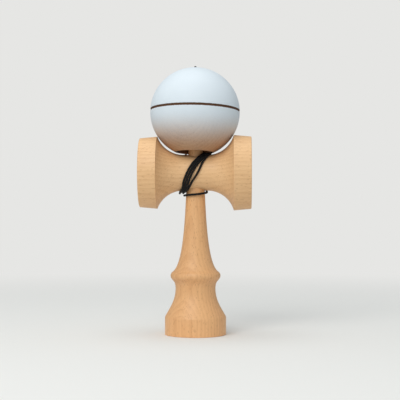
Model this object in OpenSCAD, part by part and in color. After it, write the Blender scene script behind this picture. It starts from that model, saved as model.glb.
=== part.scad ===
// Kendama: a turned handle with a spike, a cross piece with two cups, a ball
// with a hole, a bead that holds the string in the ball, and the wound string.
// Millimetres, +Z up. The foot of the handle stands on the floor at the origin,
// the cross piece lies along X with its larger cup at +X, the front faces -Y.

/* [Ken] */
// Diameter of the foot
foot_d = 41; // [37:0.5:45]
// Height of the straight side of the foot
foot_h = 11.2; // [8:0.2:14]
// Width of the flat ring the foot stands on, edges included
foot_rim_w = 2.4; // [1.8:0.1:3.5]
// Diameter of the cove above the foot
cove_d = 26.8; // [22:0.2:32]
// Height of the narrowest place of the cove
cove_z = 31; // [27:0.5:34]
// Diameter of the collar
collar_d = 33.5; // [30:0.5:36]
// Height of the widest place of the collar
collar_z = 39.5; // [37:0.5:43]
// Diameter of the neck right under the cross piece
neck_d = 12.5; // [11.5:0.1:14]
// Diameter of the spike where it leaves the cross piece
spike_root_d = 9.8; // [9:0.1:11]
// Distance of the tip of the spike below the top of the ball
tip_below = 22.5; // [20:0.5:26]
// Diameter of the rounded tip of the spike
spike_tip_d = 6.4; // [5:0.1:8]

/* [Sarado] */
// Height of the axis of the cross piece above the floor
sarado_z = 108.5; // [100:0.5:115]
// Length of the cross piece over both cups
sarado_w = 75; // [70:0.5:80]
// Diameter of the waist of the cross piece
waist_d = 24; // [22:0.5:27]
// Length of the straight part of the waist
waist_len = 16; // [13:0.5:20]
// Diameter of the large cup at the inner edge of its band
big_cup_d = 50.6; // [47:0.2:52]
// Diameter of the small cup at the inner edge of its band
small_cup_d = 48.4; // [44:0.2:49]
// Width of the band of each cup
band_w = 11.8; // [10:0.1:14]
// Loss of radius from the inner edge of a band to its rim
band_taper = 1; // [0:0.1:1.2]
// Width of the flat rim of each cup, edges included
cup_rim_w = 2.3; // [1.8:0.1:3.5]

/* [Tama] */
// Diameter of the ball
tama_d = 60; // [58:0.5:63]
// Diameter of the hole for the spike
ana_d = 23.5; // [22:0.1:25]
// Width of the bevel round the mouth of that hole
ana_bevel = 0.8; // [0.8:0.1:2]
// Width of the groove round the ball
groove_w = 1.3; // [0.8:0.1:2]
// Depth of the groove
groove_depth = 0.5; // [0.3:0.1:0.8]
// Height of the groove above the middle of the ball
groove_z = 0.9; // [-1:0.1:2]
// Diameter of the hole for the string
string_hole_d = 3.2; // [2.6:0.1:4]
// Angle the ball leans back on the spike
lean_back = 4.5; // [0:0.5:5]
// Angle the ball leans to the right on the spike
lean_side = 1; // [0:0.5:2]

/* [String] */
// Diameter of the string
string_d = 1.4; // [1.2:0.1:1.5]
// Diameter of the bead that stops the string in the ball
bead_d = 8; // [7:0.2:8.6]
// Diameter of the hole through the bead
bead_hole_d = 2; // [1.8:0.1:2.6]

/* [Fits] */
// Radial clearance of the taper between the ken and the cross piece
taper_fit = 0.05; // [0.02:0.01:0.1]
// Gap where the ball sits on the inner edges of the two bands
ball_gap = 0.25; // [0.2:0.05:0.4]
// Gap between the string and the wood it lies on
string_gap = 0.3; // [0.25:0.05:0.5]
// Gap between neighbouring turns of the string, where they cross the top
strand_gap = 0.52; // [0.5:0.01:0.7]
// Room above the tip of the spike in the ball
tip_room = 5.5; // [5:0.1:7]

/* [Hidden] */
$fn = 96;
edge_r = 0.6;
foot_edge_r = 3;
collar_nose_r = 3.2;
groove_floor = 0.8;
neck_hole_d = 2.2;
knot_seat_d = 5.2;
knot_seat_y = 1.7;
bead_room = 0.3;
knot_room = 0.5;
knot_turns = 3;
sink_d = 6.8;
foot_r = foot_d / 2;
tama_r = tama_d / 2;
waist_r = waist_d / 2;
bowl_r = tama_r + 1;
neck_z = sarado_z - waist_r;
root_z = sarado_z + waist_r;
taper_slope = (neck_d - spike_root_d) / 2 / waist_d;
band_x = sarado_w / 2 - band_w;
ana_r = ana_d / 2;
mouth_r = ana_r + ana_bevel;
// The ball sits on the inner edges of the two bands or, if they are too far apart, on the rim of its hole
seat_r = tama_r + ball_gap;
edge_step = (big_cup_d - small_cup_d) / 4;
edge_half = norm([band_x, edge_step]);
edge_rise = edge_half < seat_r ? sqrt(seat_r * seat_r - edge_half * edge_half) : 0;
edge_seat = (big_cup_d + small_cup_d) / 4 + edge_rise * band_x / edge_half;
rim_seat = max(waist_at(mouth_r), waist_at(-mouth_r)) + sqrt(seat_r * seat_r - mouth_r * mouth_r);
tama_x = -edge_rise * edge_step / edge_half;
tama_z = sarado_z + max(edge_seat, rim_seat);
tip_z = tama_z + tama_r - tip_below;
spike_len = tip_z - root_z;
mouth_z = -sqrt(tama_r * tama_r - mouth_r * mouth_r);
ana_top = tip_z + tip_room - tama_z;
pocket_d = bead_d + 2.4;
pocket_top = ana_top + bead_d + 2 * bead_room;
bead_z = pocket_top - bead_room - bead_d / 2;
knot_pitch = string_d * 0.8;
knot_len = string_d + (knot_turns - 1) * knot_pitch;
bead_knot_z = bead_z - bead_d / 2 - knot_room - knot_len / 2;
strand_lift = string_d / 2 + string_gap;
strand_pitch = string_d + strand_gap;
// Place of the winding across the cross piece, over its top beside the spike and under its bottom
// beside the neck, then half way up its front and its back, with the slant and the bow it has there
wind_top = 9.9;
wind_bottom = -6.8;
wind_front = [1.55, 6.4, 1.85];
wind_back = [-1.1, 3.7, 2.85];
// Room left beside the first strand behind and in front, and shift of the last strand, which is
// laid over the others where it passes the spike
wind_behind = 5.4;
wind_before = 1;
wind_over = 3.1;
first_angle = 165;
last_angle = -1230;
rings_per_turn = 24;

// Start of the string: out of the hole at the back, once round the neck, up behind the cross piece
tail_points = [
    [0, 6, 108.5], [0, 9.5, 108.5], [0, 12, 108.5], [0, 13.8, 108.1], [0, 15.1, 106.9],
    [-0.1, 15.7, 105.2], [-0.1, 15.5, 103.3], [-0.2, 14.5, 101.4], [-0.4, 13, 99.6], [-0.9, 11.1, 97.8],
    [-1.8, 9.1, 96.1], [-3.3, 7.3, 94.7], [-5.2, 5.4, 93.8], [-6.9, 2.8, 93.4], [-7.5, -0.2, 93.2],
    [-6.9, -3.2, 93.3], [-5.1, -5.8, 93.5], [-1.9, -7.4, 93.8], [1.4, -7.4, 94.1], [4.6, -6.1, 94.5],
    [6.7, -3.6, 94.9], [7.5, -0.3, 95.2], [7.6, 2.7, 95.6], [7.3, 5.4, 96.5], [6.9, 7.8, 98],
    [6.4, 9.9, 100.1], [6, 11.7, 102.7], [5.6, 12.8, 105.7], [5.5, 13.1, 108.8]];
// Last point of the winding, far enough behind the cross piece for the rest to lift off past it
wind_end = [-9.8, 12.7, 104.8];
// End of the string: from behind the cross piece up the back of the ball and down into its hole
lead_points = [
    [-9.6, 13.1, 105.5], [-9, 14.9, 109.9], [-8.1, 18.1, 116.6], [-7.2, 21.4, 123.1],
    [-6.5, 24.7, 129.4], [-5.8, 27.6, 135.7], [-5.4, 29.7, 142], [-5.1, 30.7, 148.8],
    [-4.8, 30.2, 155.8], [-4.2, 28.2, 162.4], [-3.4, 24.7, 168.3], [-2.5, 19.9, 173.4],
    [-1.5, 13.9, 177.4], [-0.8, 9.4, 179.4], [-0.5, 7.1, 180], [-0.2, 5.3, 180], [0, 3.8, 179.3],
    [0.1, 2.7, 178.1], [0.1, 2.2, 176.5], [0.1, 2, 174.7], [0, 1.6, 170.2], [-0.1, 1.3, 165.7],
    [-0.1, 1, 162.3]];

// Points of an arc about c from angle a0 to a1
function arc(c, r, a0, a1, n = 8) =
    [for (i = [0 : n]) let(a = a0 + (a1 - a0) * i / n) c + r * [cos(a), sin(a)]];

// Points of a cubic curve with the handles b and c
function curve(a, b, c, d, n = 20) =
    [for (i = [0 : n]) let(t = i / n, s = 1 - t) s * s * s * a + 3 * s * s * t * b + 3 * s * t * t * c + t * t * t * d];

// Radius of the tapered neck at height z inside the cross piece
function taper_r(z) = neck_d / 2 - (z - neck_z) * taper_slope;

// Depth of a bowl of the ball's roundness whose mouth has the radius r
function bowl_depth(r) = bowl_r - sqrt(bowl_r * bowl_r - r * r);

// Radius of the flare between waist and band for a cup of the diameter d
function flare_r(d) =
    let(run = band_x - waist_len / 2, rise = d / 2 - waist_r) (run * run + rise * rise) / 2 / rise;

// Radius of the cross piece at the distance x from its middle
function waist_at(x) =
    let(run = max(abs(x) - waist_len / 2, 0), r = flare_r(x > 0 ? big_cup_d : small_cup_d))
    waist_r + r - sqrt(r * r - run * run);

// Half outline of one cup as [radius, distance from the middle], from the waist out to the axis
function cup_outline(d) =
    let(r = d / 2, rim = r - band_taper, end = sarado_w / 2, bowl = rim - cup_rim_w, f = flare_r(d),
        stop = asin((band_x - waist_len / 2) / f), depth = bowl_depth(bowl), swing = asin(bowl / bowl_r))
    concat(
        arc([waist_r + f, waist_len / 2], f, 180, 180 - stop, 24),
        arc([rim - edge_r, end - edge_r], edge_r, 5, 85),
        [for (a = [swing - 1 : -(swing - 1) / 24 : 0.01]) [bowl_r * sin(a), end - depth + bowl_r * (1 - cos(a))]],
        [[0, end - depth]]);

// Half outline of the ken as [radius, height], from the middle of its base cup up to the tip
function ken_outline() =
    let(bowl = foot_r - foot_rim_w, depth = bowl_depth(bowl), swing = asin(bowl / bowl_r),
        nose = [collar_d / 2 - collar_nose_r, collar_z], tip_r = spike_tip_d / 2,
        edge = [foot_r - foot_edge_r, foot_h] + foot_edge_r * [cos(30), sin(30)],
        brow = nose + collar_nose_r * [cos(50), sin(50)],
        flare = cove_z - foot_h, rise = neck_z - collar_z, tilt = atan((spike_root_d - spike_tip_d) / 2 / spike_len))
    concat(
        [[0, depth]],
        [for (a = [(swing - 1) / 20 : (swing - 1) / 20 : swing - 0.99]) [bowl_r * sin(a), depth - bowl_r * (1 - cos(a))]],
        [[bowl + edge_r / 2, 0]],
        arc([foot_r - edge_r, edge_r], edge_r, -90, 0),
        arc([foot_r - foot_edge_r, foot_h], foot_edge_r, 0, 25, 5),
        curve(edge, edge + flare * [-0.19, 0.33], [cove_d / 2, cove_z - flare * 0.36], [cove_d / 2, cove_z]),
        arc([cove_d / 2 + 12, cove_z], 12, 177, 161, 5),
        arc(nose, collar_nose_r, -40, 45),
        curve(brow, brow + rise * [-0.112, 0.071], [neck_d / 2 + 1.1, collar_z + rise * 0.525], [neck_d / 2, neck_z], 32),
        [[spike_root_d / 2, root_z]],
        arc([0, tip_z - tip_r], tip_r, tilt, 90, 12));

// Place across the cross piece of the middle line of the winding at angle a
function wind_line(a) =
    let(s = sin(a), side = cos(a) > 0 ? wind_front : wind_back, end = s > 0 ? wind_top : wind_bottom,
        bend = s > 0 ? 3 : cos(a) > 0 ? 7 : 5)
    side[0] + side[1] * s + side[2] * s * s + (end - side[0] - side[1] * sign(s) - side[2]) * pow(abs(s), bend);

// Sideways run of that line per unit of its way round
function wind_run(a) = (wind_line(a + 1) - wind_line(a - 1)) / (2 * PI / 180) / (waist_r + strand_lift);

// A soft step from 0 to 1 as t goes from 0 to 1
function ease(t) = let(u = min(max(t, 0), 1)) u * u * (3 - 2 * u);

// Point of the winding at angle a, each turn one pitch beside the last, square to the strand
function wind_point(a) =
    let(turn = (90 - a) / 360, run = wind_run(a), apart = turn < 0 ? wind_behind : turn < 0.5 ? wind_before : 0,
        top = turn > 2.5 ? sin(a) : 0, up = ease((top - 0.56) / 0.28), over = ease((top - 0.78) / 0.22),
        x = wind_line(a) + apart * pow(abs(cos(a)), 3) - strand_pitch * turn * sqrt(1 + run * run) + wind_over * over,
        r = waist_at(x) + strand_lift + strand_pitch * up)
    [x, -r * cos(a), sarado_z + r * sin(a)];

// Points of the winding every step degrees
function wind_points(step) = [for (a = [first_angle : -step : last_angle]) wind_point(a)];

// Least distance between places of the winding half a turn or more apart, less the string
function least_gap(p, half) =
    min([for (i = [0 : len(p) - 1 - half]) min([for (j = [i + half : len(p) - 1]) norm(p[i] - p[j])])]) - string_d;

// Points of a smooth line through p, n steps to each span
function smooth(p, n) = concat(
    [for (i = [0 : len(p) - 2])
        let(b = p[i], c = p[i + 1], a = i == 0 ? 2 * b - c : p[i - 1], d = i == len(p) - 2 ? 2 * c - b : p[i + 2])
        for (k = [0 : n - 1]) let(t = k / n)
        b + 0.5 * t * (c - a + t * (2 * a - 5 * b + 4 * c - d + t * (3 * b - a - 3 * c + d)))],
    [p[len(p) - 1]]);

function unit(v) = v / norm(v);

// Direction of the line p at its point i
function heading(p, i) = unit(p[min(i + 1, len(p) - 1)] - p[max(i - 1, 0)]);

// Side directions carried along the line p without twist
function sides(p, v, i = 0) = i == len(p) ? [] :
    let(t = heading(p, i), w = unit(v - (v * t) * t)) concat([w], sides(p, w, i + 1));

// A tube of radius r along the line p with n sides
module tube(p, r, n) {
    side = sides(p, [0.3, 0.2, 0.93]);
    last = len(p) - 1;
    ring_points = [for (i = [0 : last]) let(u = side[i], v = cross(heading(p, i), u))
        for (k = [0 : n - 1]) p[i] + r * (cos(360 * k / n) * u + sin(360 * k / n) * v)];
    walls = [for (i = [0 : last - 1]) for (k = [0 : n - 1])
        let(a = i * n + k, b = i * n + (k + 1) % n) for (f = [[a, a + n, b + n], [a, b + n, b]]) f];
    caps = [for (k = [1 : n - 2]) for (f = [[0, k, k + 1], [last * n, last * n + k + 1, last * n + k]]) f];
    polyhedron(points = ring_points, faces = concat(walls, caps));
}

// A stopper knot of stacked turns about Z
module knot() {
    cylinder(d = string_d * 1.5, h = knot_len - string_d, center = true);
    for (i = [0 : knot_turns - 1])
        translate([0, 0, (i - (knot_turns - 1) / 2) * knot_pitch])
            rotate_extrude()
                translate([string_d * 0.8, 0])
                    circle(d = string_d, $fn = 32);
}

// Places its children in the ball's own frame, on the spike and leaning
module on_spike() {
    translate([tama_x, 0, tama_z])
        rotate([-lean_back, lean_side, 0])
            children();
}

module ken() {
    color("BurlyWood")
    difference() {
        rotate_extrude()
            polygon(ken_outline());
        translate([0, 0, sarado_z])
            rotate([90, 0, 0])
                cylinder(d = neck_hole_d, h = neck_d * 2, center = true, $fn = 48);
        translate([0, -knot_seat_y, sarado_z])
            rotate([90, 0, 0])
                cylinder(d = knot_seat_d, h = neck_d, $fn = 48);
    }
}

module sarado() {
    color("Wheat")
    difference() {
        translate([0, 0, sarado_z])
            rotate([0, 90, 0])
                rotate_extrude()
                    polygon(concat(
                        cup_outline(big_cup_d),
                        [for (i = [len(cup_outline(small_cup_d)) - 1 : -1 : 0])
                            [cup_outline(small_cup_d)[i].x, -cup_outline(small_cup_d)[i].y]]));
        translate([0, 0, neck_z - waist_r])
            cylinder(
                r1 = taper_r(neck_z - waist_r) + taper_fit,
                r2 = taper_r(root_z + waist_r) + taper_fit,
                h = 4 * waist_r);
        translate([0, 0, sarado_z])
            rotate([-90, 0, 0])
                cylinder(d = neck_hole_d, h = waist_d, $fn = 48);
    }
}

module tama() {
    color("AliceBlue")
    on_spike()
    difference() {
        sphere(r = tama_r);
        translate([0, 0, -tama_r])
            cylinder(d = ana_d, h = tama_r + ana_top);
        translate([0, 0, mouth_z - 1])
            cylinder(r1 = mouth_r + 1, r2 = ana_r, h = ana_bevel + 1);
        cylinder(d = pocket_d, h = pocket_top);
        cylinder(d = string_hole_d, h = tama_r + 1, $fn = 48);
        translate([0, 0, tama_r - (sink_d - string_hole_d) / 2])
            cylinder(d1 = string_hole_d, d2 = 2 * sink_d - string_hole_d, h = sink_d - string_hole_d);
        translate([0, 0, groove_z])
            rotate_extrude()
                polygon([
                    [tama_r - groove_depth, -groove_floor / 2],
                    [tama_r + groove_depth, groove_floor / 2 - groove_w],
                    [tama_r + groove_depth, groove_w - groove_floor / 2],
                    [tama_r - groove_depth, groove_floor / 2]]);
    }
}

module bead() {
    color("Peru")
    on_spike()
    translate([0, 0, bead_z])
    difference() {
        sphere(d = bead_d);
        cylinder(d = bead_hole_d, h = bead_d + 1, center = true, $fn = 48);
    }
}

module bead_knot() {
    color("DimGray")
    on_spike()
    translate([0, 0, bead_knot_z])
        knot();
}

module ken_knot() {
    color("DimGray")
    translate([0, 0, sarado_z])
    rotate([-90, 0, 0]) {
        translate([0, 0, -knot_seat_y - knot_len / 2 - 0.1])
            knot();
        translate([0, 0, -knot_seat_y - knot_len / 2])
            cylinder(d = string_d, h = knot_seat_y + knot_len / 2 + taper_r(sarado_z) - 0.1, $fn = 32);
    }
}

module string_winding() {
    color("Black")
    tube(concat(tail_points, wind_points(360 / rings_per_turn), [wind_end]), string_d / 2, 6);
}

module string_lead() {
    color("Black")
    tube(smooth(lead_points, 3), string_d / 2, 8);
}

echo(least_gap_of_winding = least_gap(wind_points(3), 60));
echo(place_of_ball = [tama_x, 0, tama_z]);

ken();
sarado();
tama();
bead();
bead_knot();
ken_knot();
string_winding();
string_lead();
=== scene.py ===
from math import acos, cos, pi, radians, sin, sqrt

import bmesh
import bpy
from mathutils import Euler, Matrix, Vector


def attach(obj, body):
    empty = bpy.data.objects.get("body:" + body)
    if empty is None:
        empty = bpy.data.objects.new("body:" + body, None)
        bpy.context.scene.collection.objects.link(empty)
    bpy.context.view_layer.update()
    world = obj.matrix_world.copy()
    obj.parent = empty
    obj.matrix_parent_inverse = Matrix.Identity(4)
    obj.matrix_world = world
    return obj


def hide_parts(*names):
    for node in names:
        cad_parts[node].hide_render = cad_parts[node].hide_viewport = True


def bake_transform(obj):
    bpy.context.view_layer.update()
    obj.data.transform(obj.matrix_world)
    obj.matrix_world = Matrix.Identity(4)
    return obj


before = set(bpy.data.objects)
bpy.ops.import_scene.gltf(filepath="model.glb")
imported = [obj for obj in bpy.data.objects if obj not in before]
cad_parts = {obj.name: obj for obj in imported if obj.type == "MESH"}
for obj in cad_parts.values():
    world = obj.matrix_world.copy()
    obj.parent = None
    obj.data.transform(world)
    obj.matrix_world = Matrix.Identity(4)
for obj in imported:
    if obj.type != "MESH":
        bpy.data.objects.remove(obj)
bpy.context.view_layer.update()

MM = 0.001

# Sizes in millimetres, as in the part's source
SARADO_Z = 108.5
WAIST_R = 12.0
WAIST_HALF = 8.0
BAND_X = 25.7
BIG_CUP_R = 25.3
SMALL_CUP_R = 24.2
TAMA_R = 30.0
TAMA_MIDDLE = Vector((-0.341175, 0.0, 149.192196))
TAMA_LEAN = Euler((radians(-4.5), radians(1.0), 0.0))
ANA_R, ANA_BEVEL, ANA_TOP = 11.75, 0.8, 13.0
MOUTH_R = ANA_R + ANA_BEVEL
POCKET_R, POCKET_TOP = 5.2, 21.6
HOLE_R, SINK_DEPTH = 1.6, 1.8
GROOVE_Z = 0.9
BEAD_R, BEAD_Z, BEAD_HOLE_R = 4.0, 17.3, 1.0
BEAD_KNOT_Z = 10.98
KEN_KNOT_Y = -3.62


def on_spike():
    """Place of the ball's own frame, in metres."""
    middle = Matrix.Translation(TAMA_MIDDLE * MM)
    return middle @ TAMA_LEAN.to_matrix().to_4x4() @ Matrix.Scale(MM, 4)


# Camera, level with the handle, in metres and millimetres of lens
AZIMUTH = radians(1.75)
DISTANCE, AXIS_LEFT, EYE_HEIGHT = 0.772, 0.003, 0.0902
LENS, SENSOR = 103.5, 36.0

camera_data = bpy.data.cameras.new("camera")
camera_data.sensor_width = SENSOR
camera_data.lens = LENS
camera_data.clip_start = 0.01
camera = bpy.data.objects.new("camera", camera_data)
bpy.context.scene.collection.objects.link(camera)
ahead = Vector((-sin(AZIMUTH), cos(AZIMUTH), 0.0))
aside = Vector((cos(AZIMUTH), sin(AZIMUTH), 0.0))
camera.location = aside * AXIS_LEFT - ahead * DISTANCE + Vector((0.0, 0.0, EYE_HEIGHT))
camera.rotation_euler = (pi / 2, 0.0, AZIMUTH)
bpy.context.scene.camera = camera


# String
STRING_R = 0.7
STRING_STEP = 0.26
STRAND_PITCH = 1.6
STRAND_LIFT = 0.8
# How far the pitch opens behind, and closes where the strands pass the spike and the neck
OPEN_BEHIND, CLOSE_HIGH, CLOSE_LOW = 0.43, 0.12, 0.45
# How far the start swings aside, and the first strand in front of the waist
START_SWING, FRONT_SWING = 5.0, 1.7
# How far out every second strand lies where the strands pass the neck
SECOND_LIFT = 0.88
WIND_TOP, WIND_BOTTOM = 10.15, -6.55
# Place half way up the front and the back, with the slant and the bow there
WIND_FRONT = (0.7, 6.6, 2.5)
WIND_BACK = (-1.03, 5.8, 3.4)
# Angles in degrees, from where the tail leaves off to where the lead begins
WIND_ANGLES = range(165, -1231, -15)
SLOPE_STEP = 0.02

TAIL_POINTS = [
    (0, 6, 108.5), (0, 9.5, 108.5), (0, 12, 108.5), (0, 13.8, 108.1), (0, 15.1, 106.9),
    (-0.1, 15.7, 105.2), (-0.1, 15.5, 103.3), (-0.2, 14.5, 101.4), (-0.4, 13, 99.6),
    (-0.9, 11.1, 97.8), (-1.8, 9.1, 96.1), (-3.3, 7.3, 94.7), (-5.2, 5.4, 93.8),
    (-6.9, 2.8, 93.4), (-7.5, -0.2, 93.2), (-6.9, -3.2, 93.3), (-5.1, -5.8, 93.5),
    (-1.9, -7.4, 93.8), (1.4, -7.4, 94.1), (4.6, -6.1, 94.5), (6.7, -3.6, 94.9),
    (7.5, -0.3, 95.2), (7.6, 2.7, 95.6), (7.3, 5.4, 96.5), (6.9, 7.8, 98),
    (6.4, 9.9, 100.1), (6, 11.7, 102.7), (5.6, 12.8, 105.7), (5.5, 13.1, 108.8)]
LEAD_POINTS = [
    (-9.6, 13.1, 105.5), (-9, 14.9, 109.9), (-8.1, 18.1, 116.6), (-7.2, 21.4, 123.1),
    (-6.5, 24.7, 129.4), (-5.8, 27.6, 135.7), (-5.4, 29.7, 142), (-5.1, 30.7, 148.8),
    (-4.8, 30.2, 155.8), (-4.2, 28.2, 162.4), (-3.4, 24.7, 168.3), (-2.5, 19.9, 173.4),
    (-1.5, 13.9, 177.4), (-0.8, 9.4, 179.4), (-0.5, 7.1, 180), (-0.2, 5.3, 180),
    (0, 3.8, 179.3), (0.1, 2.7, 178.1), (0.1, 2.2, 176.5), (0.1, 2, 174.7),
    (0, 1.6, 170.2), (-0.1, 1.3, 165.7), (-0.1, 1, 162.3)]


def waist_at(x):
    """Radius of the cross piece at the distance x from its middle."""
    rise = (BIG_CUP_R if x > 0 else SMALL_CUP_R) - WAIST_R
    run = BAND_X - WAIST_HALF
    flare = (run * run + rise * rise) / 2 / rise
    out = max(abs(x) - WAIST_HALF, 0)
    return WAIST_R + flare - sqrt(flare * flare - out * out)


def ease(t):
    """A smooth rise from 0 to 1."""
    u = min(max(t, 0), 1)
    return u * u * (3 - 2 * u)


def wind_line(a):
    """Middle line of the winding across the cross piece at angle a, shaped as in the source."""
    s, c = sin(a), cos(a)
    place, slant, bow = WIND_FRONT if c > 0 else WIND_BACK
    end, way = (WIND_TOP, 1) if s > 0 else (WIND_BOTTOM, -1)
    bend = 3 if s > 0 else 7 if c > 0 else 5
    return place + slant * s + bow * s * s + (end - place - slant * way - bow) * abs(s) ** bend


def wind_point(degrees):
    """Point of the winding: loose behind, pressed together where it passes spike and neck."""
    a, turn = radians(degrees), (90 - degrees) / 360
    rise = (wind_line(a + SLOPE_STEP) - wind_line(a - SLOPE_STEP)) / (2 * SLOPE_STEP)
    run = rise / (WAIST_R + STRAND_LIFT)
    high, low = ease(2 * sin(a) - 1), ease(-2 * sin(a) - 1)
    pitch = STRAND_PITCH + OPEN_BEHIND * ease(-cos(a)) - CLOSE_HIGH * high - CLOSE_LOW * low
    x = wind_line(a) - pitch * turn * sqrt(1 + run * run)
    if turn < 0:
        x += START_SWING * abs(cos(a)) ** 3
    elif turn < 0.5:
        x += FRONT_SWING * cos(a) ** 8
    r = waist_at(x) + STRAND_LIFT + SECOND_LIFT * low * (round(turn - 0.5) % 2)
    return (x, -r * cos(a), SARADO_Z + r * sin(a))


def smooth_line(points, step, parts=24):
    """Evenly spaced points on a smooth line through the given ones."""
    p = [Vector(q) for q in points]
    p = [2 * p[0] - p[1]] + p + [2 * p[-1] - p[-2]]
    dense = []
    for a, b, c, d in zip(p, p[1:], p[2:], p[3:]):
        square = 2 * a - 5 * b + 4 * c - d
        cube = 3 * b - a - 3 * c + d
        for k in range(parts):
            t = k / parts
            dense.append(b + 0.5 * t * (c - a + t * (square + t * cube)))
    dense.append(p[-2])
    length = sum((b - a).length for a, b in zip(dense, dense[1:]))
    gap = length / round(length / step)
    line, left = [dense[0]], gap
    for a, b in zip(dense, dense[1:]):
        span = (b - a).length
        while span >= left:
            a = a + (b - a) * (left / span)
            span -= left
            left = gap
            line.append(a)
        left -= span
    return line


def new_piece(bm, name, materials):
    """Turns a bmesh into a piece at the origin."""
    mesh = bpy.data.meshes.new(name)
    bm.to_mesh(mesh)
    bm.free()
    for material in materials:
        mesh.materials.append(material)
    piece = bpy.data.objects.new(name, mesh)
    bpy.context.scene.collection.objects.link(piece)
    return piece


def smooth_shade(bm, angle):
    """Smooth faces, with the edges that turn by more than the angle kept sharp."""
    for face in bm.faces:
        face.smooth = True
    for edge in bm.edges:
        edge.smooth = len(edge.link_faces) == 2 and edge.calc_face_angle(0) < angle


# Braid: four strands each way, their lay and the pattern's length in mm, how far they swell
STRANDS_EACH_WAY = 4
BRAID_LAY, BRAID_UV_LENGTH = 0.62, 4
BRAID_SWELL = 0.075
BRAID_CREASE = radians(70)
BRAID_FIRST_SIDE = Vector((0.3, 0.2, 0.93))


def braid(line, radius, sides=16):
    """A tube along the line whose surface swells and sinks as an eight-strand braid does."""
    bm = bmesh.new()
    uv = bm.loops.layers.uv.new("braid")
    last = len(line) - 1
    bmesh.ops.create_grid(bm, x_segments=sides, y_segments=last, size=1, calc_uvs=True)
    step = (line[1] - line[0]).length
    for face in bm.faces:
        for loop in face.loops:
            loop[uv].uv.y *= last * step / BRAID_UV_LENGTH
    frames, side = [], BRAID_FIRST_SIDE
    for i in range(last + 1):
        heading = (line[min(i + 1, last)] - line[max(i - 1, 0)]).normalized()
        side = (side - heading * side.dot(heading)).normalized()
        frames.append((side, heading.cross(side)))
    for v in bm.verts:
        turn, i = pi * (v.co.x + 1), round((v.co.y + 1) / 2 * last)
        round_it, lay = STRANDS_EACH_WAY * turn, pi * i * step / BRAID_LAY
        r = radius * (1 + BRAID_SWELL * cos(round_it + lay) * cos(round_it - lay))
        side, over = frames[i]
        v.co = (line[i] + r * (cos(turn) * side + sin(turn) * over)) * MM
    bmesh.ops.remove_doubles(bm, verts=bm.verts, dist=1e-6)
    bmesh.ops.holes_fill(bm, edges=[e for e in bm.edges if e.is_boundary], sides=0)
    bmesh.ops.recalc_face_normals(bm, faces=bm.faces)
    smooth_shade(bm, BRAID_CREASE)
    return bm


# Shared effects of the surfaces
def effect(name, inputs, outputs):
    """An empty shader node group with the given sockets."""
    tree = bpy.data.node_groups.new(name, "ShaderNodeTree")
    for socket, kind, value in inputs:
        made = tree.interface.new_socket(socket, in_out="INPUT", socket_type=kind)
        if value is not None:
            made.default_value = value
    for socket, kind in outputs:
        tree.interface.new_socket(socket, in_out="OUTPUT", socket_type=kind)
    return tree, tree.nodes.new("NodeGroupInput"), tree.nodes.new("NodeGroupOutput")


class Net:
    """Short forms for placing and joining shader nodes."""

    def __init__(self, tree):
        self.tree = tree

    def node(self, kind, **values):
        node = self.tree.nodes.new(kind)
        for key, value in values.items():
            setattr(node, key, value)
        return node

    def join(self, source, target):
        self.tree.links.new(source, target)

    def feed(self, socket, value):
        if hasattr(value, "is_output"):
            self.join(value, socket)
        else:
            socket.default_value = value

    def math(self, operation, a, b=0.0, c=0.0):
        node = self.node("ShaderNodeMath", operation=operation)
        for socket, value in zip(node.inputs, (a, b, c)):
            self.feed(socket, value)
        return node.outputs[0]

    def vector(self, operation, a, b=(0.0, 0.0, 0.0)):
        node = self.node("ShaderNodeVectorMath", operation=operation)
        self.feed(node.inputs[0], a)
        self.feed(node.inputs[1], b)
        return node.outputs["Value" if operation == "LENGTH" else "Vector"]

    def noise(self, vector, scale, detail=2.0, rough=0.5):
        node = self.node("ShaderNodeTexNoise")
        self.feed(node.inputs["Vector"], vector)
        node.inputs["Scale"].default_value = scale
        node.inputs["Detail"].default_value = detail
        node.inputs["Roughness"].default_value = rough
        return node.outputs["Fac"]

    def step(self, value, low, high, to_low=0.0, to_high=1.0):
        node = self.node("ShaderNodeMapRange", interpolation_type="SMOOTHSTEP")
        for socket, v in zip(node.inputs, (value, low, high, to_low, to_high)):
            self.feed(socket, v)
        return node.outputs[0]

    def blend(self, factor, a, b):
        node = self.node("ShaderNodeMix", data_type="RGBA")
        self.feed(node.inputs[0], factor)
        self.feed(node.inputs[6], a)
        self.feed(node.inputs[7], b)
        return node.outputs[2]

    def mapping(self, vector, location=(0, 0, 0), rotation=(0, 0, 0), scale=(1, 1, 1), kind="POINT"):
        node = self.node("ShaderNodeMapping", vector_type=kind)
        self.feed(node.inputs["Vector"], vector)
        node.inputs["Location"].default_value = location
        node.inputs["Rotation"].default_value = rotation
        node.inputs["Scale"].default_value = scale
        return node.outputs[0]


# Beech: how fine its patterns are, per metre along X, Y and the grain
SWAY_SCALE = (16, 16, 5)
STREAK_SCALE = (900, 900, 30)
BROAD_SCALE = (60, 60, 14)
FLECK_SCALE = (1400, 1400, 400)
PORE_SCALE = (5200, 5200, 420)
RING_WIDTH, RING_SWAY = 0.0026, 0.012
GRAIN_DEPTH, PAINT_DEPTH, YARN_DEPTH = 0.00006, 0.00003, 0.00008


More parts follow.
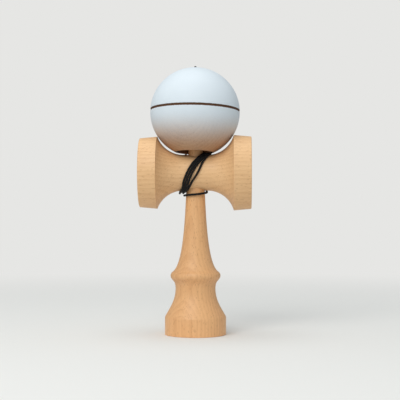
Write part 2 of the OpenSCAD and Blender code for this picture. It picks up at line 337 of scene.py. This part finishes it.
def beech_effect():
    """Beech, grain along Z: growth rings about a pith on the Z axis, ray flecks and pores."""
    tree, given, made = effect(
        "beech_grain",
        [("Vector", "NodeSocketVector", None), ("Ring Width", "NodeSocketFloat", RING_WIDTH)],
        [("Tone", "NodeSocketFloat"), ("Fleck", "NodeSocketFloat"), ("Pore", "NodeSocketFloat"),
         ("Height", "NodeSocketFloat")])
    net = Net(tree)
    place = given.outputs["Vector"]
    sway = net.noise(net.mapping(place, scale=SWAY_SCALE), 1.0, 3.0)
    flat = net.vector("MULTIPLY", place, (1.0, 1.0, 0.0))
    ring = net.math("ADD", net.vector("LENGTH", flat), net.math("MULTIPLY", sway, RING_SWAY))
    ring = net.math("FRACT", net.math("DIVIDE", ring, given.outputs["Ring Width"]))
    late = net.math("SUBTRACT", net.step(ring, 0.25, 0.96), net.step(ring, 0.96, 1.0))
    streak = net.noise(net.mapping(place, scale=STREAK_SCALE), 1.0, 3.0, 0.6)
    broad = net.noise(net.mapping(place, scale=BROAD_SCALE), 1.0, 2.0)
    tone = net.math("MULTIPLY_ADD", late, 0.14, net.math("MULTIPLY", streak, 0.5))
    tone = net.math("MULTIPLY_ADD", broad, 0.4, tone)
    fleck_cells = net.node("ShaderNodeTexVoronoi", feature="F1")
    net.feed(fleck_cells.inputs["Vector"], net.mapping(place, scale=FLECK_SCALE))
    fleck_cells.inputs["Scale"].default_value = 1.0
    chance = net.node("ShaderNodeSeparateColor")
    net.join(fleck_cells.outputs["Color"], chance.inputs[0])
    fleck = net.math("MULTIPLY", net.step(fleck_cells.outputs["Distance"], 0.46, 0.2),
                     net.step(chance.outputs[0], 0.55, 0.9))
    pore = net.step(net.noise(net.mapping(place, scale=PORE_SCALE), 1.0, 2.0), 0.6, 0.74)
    height = net.math("MULTIPLY_ADD", pore, -0.7, net.math("MULTIPLY", streak, 0.35))
    for name, value in (("Tone", tone), ("Fleck", fleck), ("Pore", pore), ("Height", height)):
        net.join(value, made.inputs[name])
    return tree


def linear(r, g, b):
    """A colour written as on a screen, in the light values that the shaders use."""
    def light(v):
        return ((v / 255 + 0.055) / 1.055) ** 2.4 if v > 10 else v / 255 / 12.92
    return (light(r), light(g), light(b), 1.0)


def new_material(name, **sockets):
    """A material, with its node net and its shader, whose named inputs are set."""
    material = bpy.data.materials.new(name)
    material.use_nodes = True
    shader = material.node_tree.nodes["Principled BSDF"]
    for key, value in sockets.items():
        shader.inputs[key.replace("_", " ")].default_value = value
    return Net(material.node_tree), shader, material


def place_effect(net, tree, vector):
    node = net.node("ShaderNodeGroup")
    node.node_tree = tree
    net.feed(node.inputs["Vector"], vector)
    return node


def bump(net, shader, height, distance, strength):
    node = net.node("ShaderNodeBump")
    node.inputs["Strength"].default_value = strength
    node.inputs["Distance"].default_value = distance
    net.join(height, node.inputs["Height"])
    net.join(node.outputs[0], shader.inputs["Normal"])


BEECH = beech_effect()
UPRIGHT = (0, 0, 0)
LYING = (0, radians(-90), 0)


def beech(name, pale, deep, fleck_colour, pith, rotation, rough=0.46):
    """Sanded beech under a thin satin finish."""
    net, shader, material = new_material(name, Specular_IOR_Level=0.5)
    place = net.node("ShaderNodeTexCoord").outputs["Object"]
    grain = place_effect(net, BEECH, net.mapping(place, location=pith, rotation=rotation))
    tone = grain.outputs["Tone"]
    colour = net.blend(net.step(tone, 0.3, 0.95), pale, deep)
    for mark, strength in (("Fleck", 0.4), ("Pore", 0.3)):
        colour = net.blend(net.math("MULTIPLY", grain.outputs[mark], strength), colour, fleck_colour)
    net.join(colour, shader.inputs["Base Color"])
    net.join(net.step(tone, 0.2, 1.0, rough + 0.06, rough - 0.05), shader.inputs["Roughness"])
    bump(net, shader, grain.outputs["Height"], GRAIN_DEPTH, 0.6)
    return material


handle_beech = beech(
    "handle_beech", linear(236, 184, 129), linear(211, 154, 102), linear(162, 106, 61),
    (0.021, 0.034, 0.0), UPRIGHT)
cross_beech = beech(
    "cross_beech", linear(240, 197, 146), linear(217, 168, 117), linear(172, 118, 74),
    (0.014, 0.03, 0.0), LYING)
# Bare beech inside the ball's hole, darkened with painted shade for the hole's shadow
hole_shaded_beech = beech(
    "ball_hole_shaded_beech", linear(138, 94, 60), linear(108, 71, 44), linear(74, 47, 28),
    (0.03, 0.02, 0.0), UPRIGHT)
bead_beech = beech(
    "bead_beech", linear(196, 150, 104), linear(160, 112, 70), linear(110, 72, 42),
    (0.004, 0.006, 0.0), UPRIGHT, 0.4)

# Heights on the ball, in metres: full paint above the first, bare wood below the second
PAINT_ENDS, WOOD_BEGINS = -0.0025, -0.027
PAINT_SPECKLE = 0.006
# Distances from the middle of the groove, in metres: burnt up to the first, clean from the second
BURNT, CLEAN = 0.00092, 0.00108
BURNT_RAGGED = 0.00035


def ball_paint_material():
    """Pale satin paint sprayed thinner down to bare beech, with a burnt groove round it."""
    net, shader, material = new_material("ball_paint", Specular_IOR_Level=0.3)
    place = net.node("ShaderNodeTexCoord").outputs["Object"]
    own = net.mapping(place, location=TAMA_MIDDLE * MM, rotation=TAMA_LEAN, kind="TEXTURE")
    xyz = net.node("ShaderNodeSeparateXYZ")
    net.join(own, xyz.inputs[0])
    height = xyz.outputs[2]
    mist = net.noise(own, 2600.0, 3.0, 0.6)
    cloud = net.noise(own, 70.0, 2.0)
    paint = net.blend(net.math("MULTIPLY_ADD", mist, 0.5, net.math("MULTIPLY", cloud, 0.5)),
                      linear(213, 224, 232), linear(226, 236, 242))
    grain = place_effect(net, BEECH, net.mapping(own, location=(0.012, 0.05, 0.0)))
    wood = net.blend(net.step(grain.outputs["Tone"], 0.3, 0.9),
                     linear(192, 155, 122), linear(170, 131, 100))
    wood = net.blend(net.math("MULTIPLY", grain.outputs["Fleck"], 0.5), wood, linear(140, 94, 60))
    speckled = net.math("MULTIPLY_ADD", net.math("SUBTRACT", mist, 0.5), PAINT_SPECKLE, height)
    colour = net.blend(net.step(speckled, PAINT_ENDS, WOOD_BEGINS), paint, wood)
    off = net.math("ABSOLUTE", net.math("SUBTRACT", height, GROOVE_Z * MM))
    ragged = net.math("MULTIPLY_ADD", net.noise(own, 900.0, 2.0), BURNT_RAGGED, off)
    burnt = net.step(ragged, CLEAN, BURNT)
    char = net.blend(net.noise(own, 1400.0, 3.0), linear(112, 78, 54), linear(70, 45, 29))
    net.join(net.blend(burnt, colour, char), shader.inputs["Base Color"])
    satin = net.step(mist, 0.3, 0.7, 0.5, 0.6)
    net.join(net.math("MULTIPLY_ADD", burnt, 0.2, satin), shader.inputs["Roughness"])
    bump(net, shader, mist, PAINT_DEPTH, 0.5)
    return material


def string_material():
    """Black braided cord: fine yarns across the braid, faint fuzz."""
    net, shader, material = new_material(
        "black_braid", Roughness=0.72, Specular_IOR_Level=0.3, Sheen_Weight=0.08, Sheen_Roughness=0.4)
    uv = net.node("ShaderNodeUVMap", uv_map="braid").outputs[0]
    yarn = net.node("ShaderNodeTexWave", wave_type="BANDS", bands_direction="DIAGONAL")
    net.feed(yarn.inputs["Vector"], net.mapping(uv, scale=(24, 24, 1)))
    yarn.inputs["Scale"].default_value = 1.0
    yarn.inputs["Distortion"].default_value = 1.0
    fuzz = net.noise(net.node("ShaderNodeTexCoord").outputs["Object"], 6000.0, 2.0)
    tone = net.math("MULTIPLY_ADD", yarn.outputs["Fac"], 0.6, net.math("MULTIPLY", fuzz, 0.4))
    net.join(net.blend(tone, linear(6, 6, 6), linear(17, 17, 16)), shader.inputs["Base Color"])
    bump(net, shader, yarn.outputs["Fac"], YARN_DEPTH, 0.6)
    return material


ball_paint = ball_paint_material()
black_braid = string_material()

# The string in one length, from the hole in the cross piece to the knot under the bead
winding_points = [wind_point(a) for a in WIND_ANGLES]
string_line = smooth_line(TAIL_POINTS + winding_points + LEAD_POINTS, STRING_STEP)
string = new_piece(braid(string_line, STRING_R), "string", [black_braid])
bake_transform(string)
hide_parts("string_winding", "string_lead")

# Stopper knots, in millimetres
KNOT_TURNS, KNOT_STEPS, KNOT_EASE = 3, 40, 6
KNOT_R, KNOT_HALF = 1.12, 1.12
KNOT_START = [(0.0, 0.0, -1.9), (0.0, 0.0, -1.3)]
KNOT_END = [(0.0, 0.0, 1.4), (0.0, 0.0, 1.9)]
KNOT_STRING_R, KNOT_STRING_STEP, KNOT_STRING_SIDES = 0.68, 0.24, 12


def stopper_knot(name, place):
    """Three turns of the string drawn tight round itself, about Z."""
    turns = []
    for k in range(KNOT_STEPS + 1):
        a = 2 * pi * KNOT_TURNS * k / KNOT_STEPS
        r = KNOT_R * ease(k / KNOT_EASE) * ease((KNOT_STEPS - k) / KNOT_EASE)
        turns.append((r * cos(a), r * sin(a), -KNOT_HALF + 2 * KNOT_HALF * k / KNOT_STEPS))
    line = smooth_line(KNOT_START + turns + KNOT_END, KNOT_STRING_STEP)
    bm = braid(line, KNOT_STRING_R, KNOT_STRING_SIDES)
    bmesh.ops.transform(bm, matrix=place @ Matrix.Scale(1 / MM, 4), verts=bm.verts)
    return new_piece(bm, name, [black_braid])


def turned(outline, steps, place):
    """A shape turned from a closed outline of (radius, height) about Z."""
    bm = bmesh.new()
    verts = [bm.verts.new((r, 0.0, z)) for r, z in outline]
    edges = [bm.edges.new((a, b)) for a, b in zip(verts, verts[1:] + verts[:1])]
    bmesh.ops.spin(bm, geom=verts + edges, cent=(0, 0, 0), axis=(0, 0, 1), dvec=(0, 0, 0),
                   angle=2 * pi, steps=steps, use_merge=True, use_duplicate=False)
    bmesh.ops.remove_doubles(bm, verts=bm.verts, dist=1e-5)
    bmesh.ops.recalc_face_normals(bm, faces=bm.faces)
    bmesh.ops.transform(bm, matrix=place, verts=bm.verts)
    return bm


# Ball: its groove as (radius, height from the groove's middle), and how far its lips reach
GROOVE = [(29.92, -0.6), (29.52, -0.36), (29.5, 0.0), (29.52, 0.36), (29.92, 0.6)]
GROOVE_REACH = 0.72
# How much the edges of the mouth are rounded, at the wall, on the bevel and at the outside
WALL_EDGE, BEVEL_EDGE, OUTER_EDGE = 0.2, 0.08, 0.22
# Where the outside ends at the top, and the rim of the sink there
ARC_TOP = 29.79
SINK_RIM = (3.2, 29.72)
ARC_STEPS, BALL_SIDES = 60, 192
# Faces further in than this, or within the mouth, are bare wood, coloured a dark brown that is
# painted shade for the inside of the hole
SHADED_BARE_R, SHADED_BARE_MOUTH_R = 29.3, MOUTH_R - 0.1


def ball_outline():
    """Outline of the ball from its mouth up to the string hole and back down inside."""
    def arc(z_from, z_to):
        a, b = acos(z_from / TAMA_R), acos(z_to / TAMA_R)
        angles = [a + (b - a) * k / ARC_STEPS for k in range(ARC_STEPS + 1)]
        return [(TAMA_R * sin(angle), TAMA_R * cos(angle)) for angle in angles]
    mouth_z = -sqrt(TAMA_R ** 2 - MOUTH_R ** 2)
    bevel_z = mouth_z + ANA_BEVEL
    sink_z = TAMA_R - SINK_DEPTH
    return (
        [(ANA_R, ANA_TOP), (ANA_R, bevel_z + WALL_EDGE),
         (ANA_R + BEVEL_EDGE, bevel_z - BEVEL_EDGE), (MOUTH_R - OUTER_EDGE, mouth_z + OUTER_EDGE)]
        + arc(mouth_z + BEVEL_EDGE, GROOVE_Z - GROOVE_REACH)
        + [(r, GROOVE_Z + z) for r, z in GROOVE]
        + arc(GROOVE_Z + GROOVE_REACH, ARC_TOP)
        + [SINK_RIM, (HOLE_R + 0.15, sink_z + 0.2), (HOLE_R, sink_z - 0.1),
           (HOLE_R, POCKET_TOP), (POCKET_R, POCKET_TOP), (POCKET_R, ANA_TOP)])


ball_mesh = turned(ball_outline(), BALL_SIDES, on_spike())
ball = new_piece(ball_mesh, "ball", [ball_paint, hole_shaded_beech])
own_frame = on_spike().inverted()
for face in ball.data.polygons:
    x, y, z = own_frame @ face.center
    in_mouth = sqrt(x * x + y * y) < SHADED_BARE_MOUTH_R and z < 0
    face.material_index = 1 if in_mouth or x * x + y * y + z * z < SHADED_BARE_R ** 2 else 0
    face.use_smooth = True
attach(ball, "tama")
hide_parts("tama")

# Bead: its round side in degrees from the top, and where its hole ends
BEAD_FROM, BEAD_SWEEP, BEAD_STEPS, BEAD_SIDES = 18, 144, 40, 64
BEAD_HALF = 3.75


def bead_outline():
    """Outline of the bead from its top down, and back up through its hole."""
    angles = [radians(BEAD_FROM + BEAD_SWEEP * k / BEAD_STEPS) for k in range(BEAD_STEPS + 1)]
    curve = [(BEAD_R * sin(a), BEAD_R * cos(a)) for a in angles]
    return curve + [(BEAD_HOLE_R, -BEAD_HALF), (BEAD_HOLE_R, BEAD_HALF)]


bead_place = on_spike() @ Matrix.Translation((0, 0, BEAD_Z))
bead = new_piece(turned(bead_outline(), BEAD_SIDES, bead_place), "stop_bead", [bead_beech])
for face in bead.data.polygons:
    face.use_smooth = True
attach(bead, "string_end")
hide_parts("bead")

bead_knot_place = on_spike() @ Matrix.Translation((0, 0, BEAD_KNOT_Z))
bead_knot = stopper_knot("knot_under_bead", bead_knot_place)
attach(bead_knot, "string_end")
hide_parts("bead_knot")

in_neck = Matrix.Translation((0, KEN_KNOT_Y * MM, SARADO_Z * MM))
ken_knot_place = in_neck @ Matrix.Rotation(radians(-90), 4, "X")
ken_knot = stopper_knot("knot_in_neck", ken_knot_place @ Matrix.Scale(MM, 4))
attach(ken_knot, "ken")
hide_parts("ken_knot")

WOOD_CREASE = radians(24)


def smooth_wood(node, name, material):
    """The node's own solid with its triangles joined, so that its turned faces shade smoothly."""
    bm = bmesh.new()
    bm.from_mesh(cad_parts[node].data)
    bmesh.ops.remove_doubles(bm, verts=bm.verts, dist=2e-6)
    smooth_shade(bm, WOOD_CREASE)
    return new_piece(bm, name, [material])


handle = smooth_wood("ken", "handle", handle_beech)
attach(handle, "ken")
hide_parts("ken")

cross = smooth_wood("sarado", "cross_piece", cross_beech)
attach(cross, "sarado")
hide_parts("sarado")


# Floor that sweeps up into the backdrop, in metres
PALE = linear(230, 230, 228)
SEEN_FLOOR = linear(236, 236, 233)
# Painted light: the floor's colour for bounced light is brighter next to the foot and dimmer further
# out, to lift the foot and deepen the shade under the cups
NEAR_PAINTED_BOUNCE, FAR_PAINTED_BOUNCE = linear(250, 249, 246), linear(211, 210, 207)
PAINTED_BOUNCE_FADE = (0.03, 0.08)
SHADOW_FADE = (0.2, 0.68)
SWEEP_HALF, SWEEP_BEND, SWEEP_R, SWEEP_TOP = 3.0, 1.2, 0.8, 3.5


def pale_sweep_material():
    """Matt pale paper that takes the shadow near the object and fades to an even tone behind it. The
    colour that bounces light is painted light: brighter next to the foot, dimmer further out.
    """
    net, shader, material = new_material("pale_sweep", Roughness=0.9, Specular_IOR_Level=0.1)
    to_camera = net.node("ShaderNodeLightPath").outputs["Is Camera Ray"]
    away = net.vector("LENGTH", net.node("ShaderNodeTexCoord").outputs["Object"])
    bounce = net.blend(net.step(away, *PAINTED_BOUNCE_FADE), NEAR_PAINTED_BOUNCE, FAR_PAINTED_BOUNCE)
    net.join(net.blend(to_camera, bounce, SEEN_FLOOR), shader.inputs["Base Color"])
    glow = net.node("ShaderNodeEmission")
    glow.inputs["Color"].default_value = PALE
    seen = net.math("MULTIPLY", to_camera, net.step(away, *SHADOW_FADE))
    mix = net.node("ShaderNodeMixShader")
    net.join(seen, mix.inputs[0])
    net.join(shader.outputs[0], mix.inputs[1])
    net.join(glow.outputs[0], mix.inputs[2])
    net.join(mix.outputs[0], material.node_tree.nodes["Material Output"].inputs[0])
    return material


def sweep():
    """A flat floor that bends up into an upright wall."""
    bm = bmesh.new()
    angles = [radians(a) for a in range(6, 91, 6)]
    line = [(-SWEEP_HALF, 0.0), (SWEEP_BEND, 0.0)]
    line += [(SWEEP_BEND + SWEEP_R * sin(a), SWEEP_R - SWEEP_R * cos(a)) for a in angles]
    line += [(SWEEP_BEND + SWEEP_R, SWEEP_TOP)]
    verts = [bm.verts.new((-SWEEP_HALF, y, z)) for y, z in line]
    edges = [bm.edges.new(pair) for pair in zip(verts, verts[1:])]
    made = bmesh.ops.extrude_edge_only(bm, edges=edges)["geom"]
    new_verts = [g for g in made if isinstance(g, bmesh.types.BMVert)]
    bmesh.ops.translate(bm, vec=(2 * SWEEP_HALF, 0.0, 0.0), verts=new_verts)
    bmesh.ops.recalc_face_normals(bm, faces=bm.faces)
    for face in bm.faces:
        face.smooth = True
    return new_piece(bm, "sweep", [pale_sweep_material()])


sweep()

# Lights, in metres and watts
LAMP_TARGET = Vector((0.0, 0.0, 0.1))
LAMP_SIZE = 1.0
LAMP_COLOUR = (1.0, 0.985, 0.96)
ROOM_COLOUR = (0.91, 0.96, 1.0, 1.0)
ROOM_STRENGTH = 0.54


def soft_light(name, place, watts):
    """A round lamp that faces the toy."""
    data = bpy.data.lights.new(name, "AREA")
    data.shape = "DISK"
    data.size = LAMP_SIZE
    data.energy = watts
    data.color = LAMP_COLOUR
    lamp = bpy.data.objects.new(name, data)
    lamp.location = place
    lamp.rotation_euler = (LAMP_TARGET - Vector(place)).to_track_quat("-Z", "Y").to_euler()
    bpy.context.scene.collection.objects.link(lamp)


soft_light("key", (-0.45, -1.09, 1.06), 10.6)
soft_light("overhead", (-0.1, 0.0, 1.4), 4.85)

# The room lights the toy, and the camera sees the backdrop's tone in its place
world = bpy.data.worlds.new("studio")
world.use_nodes = True
room = Net(world.node_tree)
around = world.node_tree.nodes["Background"]
around.inputs["Color"].default_value = ROOM_COLOUR
around.inputs["Strength"].default_value = ROOM_STRENGTH
behind = room.node("ShaderNodeBackground")
behind.inputs["Color"].default_value = PALE
either = room.node("ShaderNodeMixShader")
room.join(room.node("ShaderNodeLightPath").outputs["Is Camera Ray"], either.inputs[0])
room.join(around.outputs[0], either.inputs[1])
room.join(behind.outputs[0], either.inputs[2])
room.join(either.outputs[0], world.node_tree.nodes["World Output"].inputs[0])
bpy.context.scene.world = world
bpy.context.scene.view_settings.view_transform = "Standard"
